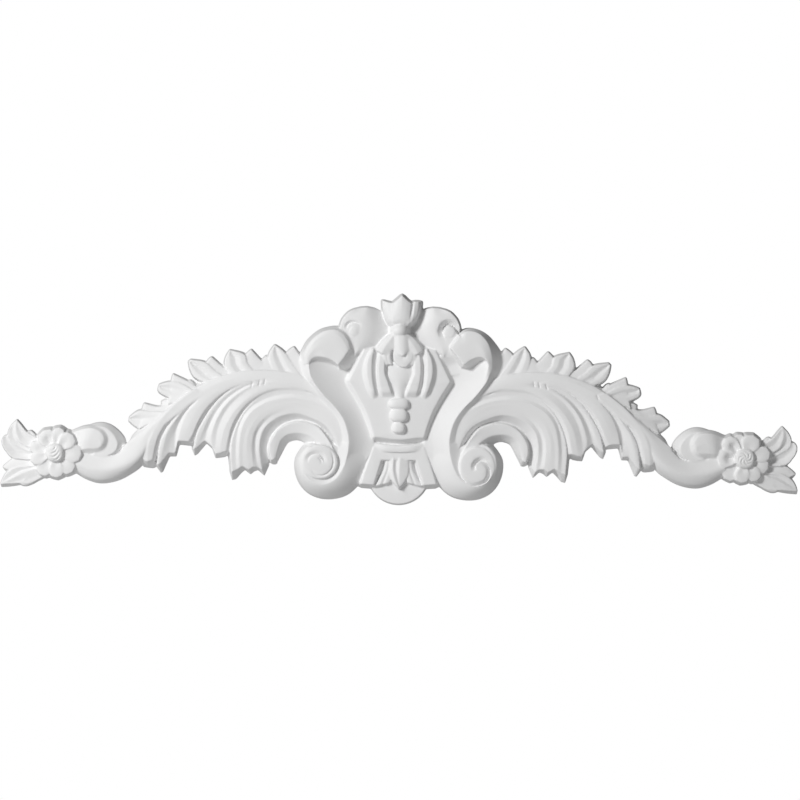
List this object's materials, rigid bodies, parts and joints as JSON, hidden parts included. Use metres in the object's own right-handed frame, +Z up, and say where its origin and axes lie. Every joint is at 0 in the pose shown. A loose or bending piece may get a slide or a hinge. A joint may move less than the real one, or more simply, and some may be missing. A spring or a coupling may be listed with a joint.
{
  "type": "scroll onlay",
  "caption": "Moulded pediment onlay with a central panel and vase, paired scrolls, leafy wings and a flower at each end, flat at the back.",
  "frame": {"origin": "on the flat back face, midway between the two ends, level with the middle of the whole height", "axes": "+X to the viewer's right along the onlay, +Y into the wall, +Z up"},
  "size_m": [0.8999, 0.0306, 0.2393],
  "materials": {
    "primed_white": "matte factory primer on a cast surface"
  },
  "bodies": {
    "root": {"scroll_onlay": "primed_white"}
  },
  "joints": []
}
